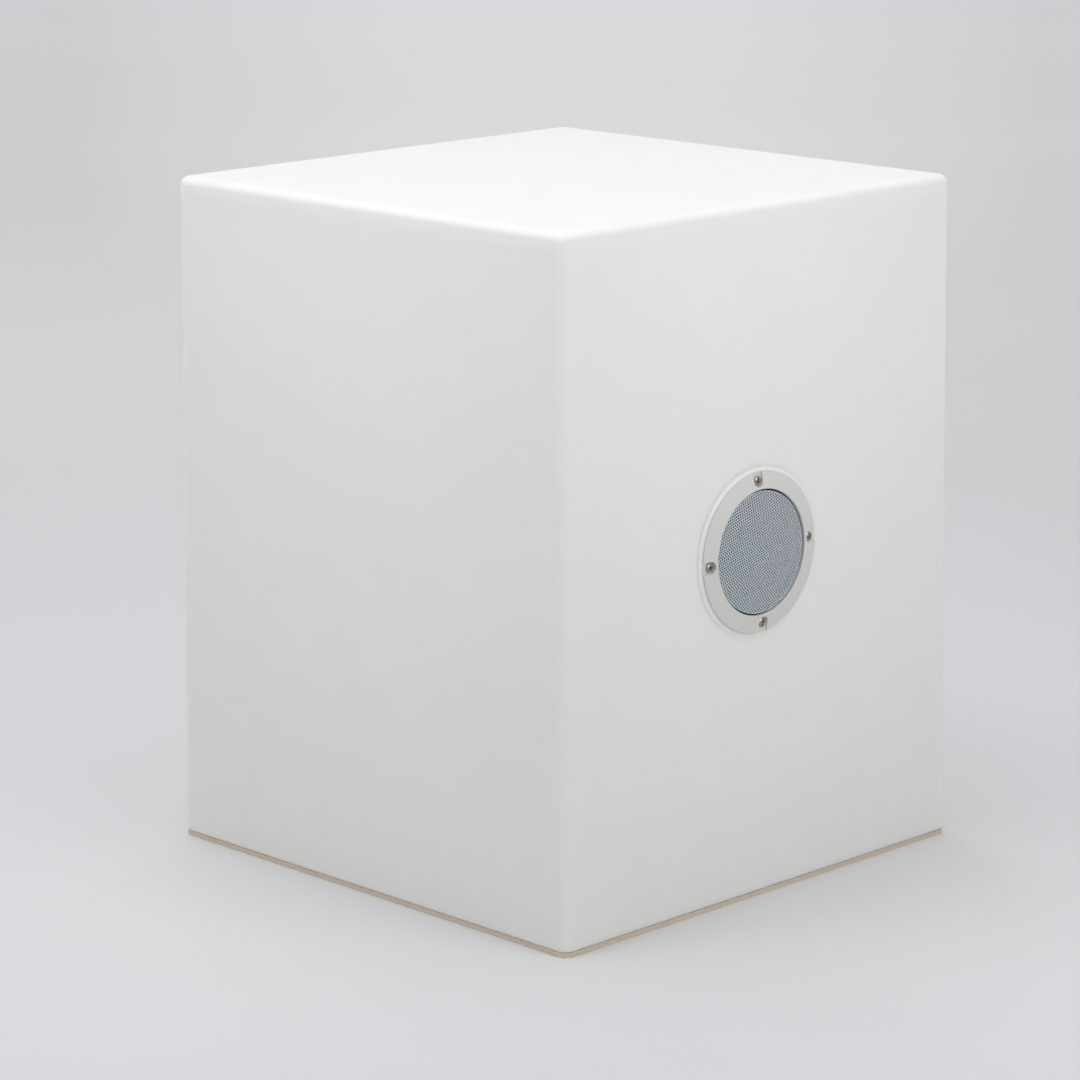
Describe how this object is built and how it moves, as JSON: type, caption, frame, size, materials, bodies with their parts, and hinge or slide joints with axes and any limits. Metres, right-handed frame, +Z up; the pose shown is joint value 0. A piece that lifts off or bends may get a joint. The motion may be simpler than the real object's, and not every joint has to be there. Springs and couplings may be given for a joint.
{
  "type": "light-up cube speaker",
  "caption": "Tall opal moulded box lamp with a round loudspeaker behind a domed perforated grille in its front face, on a thin base board.",
  "frame": {"origin": "centre of the underside of the base board", "axes": "+Z up, the loudspeaker faces -Y, +X to the right seen from the front"},
  "size_m": [0.4, 0.4035, 0.4915],
  "materials": {
    "opal_plastic": "satin, translucent white",
    "base_fibreboard": "matt taupe board",
    "seal_foam": "matt dark foam",
    "ring_plastic": "pale grey, fine texture",
    "grille_metal": "blue-grey lacquer",
    "screw_steel": "zinc plated",
    "black_plastic": "fine matt",
    "basket_steel": "black lacquer",
    "cone_paper": "pressed pulp",
    "surround_rubber": "satin",
    "spider_cloth": "resin-stiffened weave",
    "coil_former_card": "smooth",
    "coil_copper": "lacquered wire",
    "magnet_ferrite": "ground ferrite",
    "plate_steel": "zinc plated",
    "terminal_brass": "bright",
    "lead_jacket": "matt",
    "housing_plastic": "fine texture",
    "button_plastic": "satin",
    "circuit_board": "lacquered laminate",
    "led_package": "clear resin",
    "component_case": "moulded",
    "battery_film": "shrink film",
    "lens_plastic": "frosted"
  },
  "bodies": {
    "box": {"shell": "opal_plastic", "base_board": "base_fibreboard", "base_seal": "seal_foam", "base_screws": "screw_steel", "trim_ring": "ring_plastic", "ring_gasket": "seal_foam", "ring_screws": "screw_steel", "grille": "grille_metal", "spacer_ring": "black_plastic", "speaker_basket": "basket_steel", "surround": "surround_rubber", "spider": "spider_cloth", "top_plate": "plate_steel", "magnet": "magnet_ferrite", "yoke": "plate_steel", "terminal_strip": "component_case", "terminal_tabs": "terminal_brass", "lead_connector": "black_plastic", "speaker_lead": "lead_jacket", "lead_clips": "black_plastic", "lead_grommet": "surround_rubber", "recess_ring": "housing_plastic", "control_plate": "housing_plastic", "light_housing": "housing_plastic", "housing_seal": "seal_foam", "housing_screws": "screw_steel", "tact_switch": "component_case", "charging_socket": "black_plastic", "control_board": "circuit_board", "board_screws": "screw_steel", "board_components": "component_case", "lead_header": "black_plastic", "battery_pack": "battery_film", "battery_pad": "seal_foam", "battery_strap": "plate_steel", "strap_screws": "screw_steel", "led_board": "circuit_board", "led_chips": "led_package", "board_link": "black_plastic", "lens_dome": "lens_plastic", "lens_screws": "screw_steel"},
    "cone_assembly": {"cone": "cone_paper", "dust_cap": "cone_paper", "coil_former": "coil_former_card", "voice_coil": "coil_copper"},
    "button": {"power_button": "button_plastic", "switch_plunger": "component_case"}
  },
  "joints": [
    {"name": "cone_travel", "type": "slide", "parent": "box", "child": "cone_assembly", "axis": [0, -1, 0.0086], "range_m": [-0.0015, 0.0015], "stiffness_N_per_m": 1200, "deforming": ["surround", "spider"]},
    {"name": "button_press", "type": "slide", "parent": "box", "child": "button", "axis": [0, 0, 1], "range_m": [0, 0.0012], "stiffness_N_per_m": 900, "springref_m": -0.0006}
  ]
}
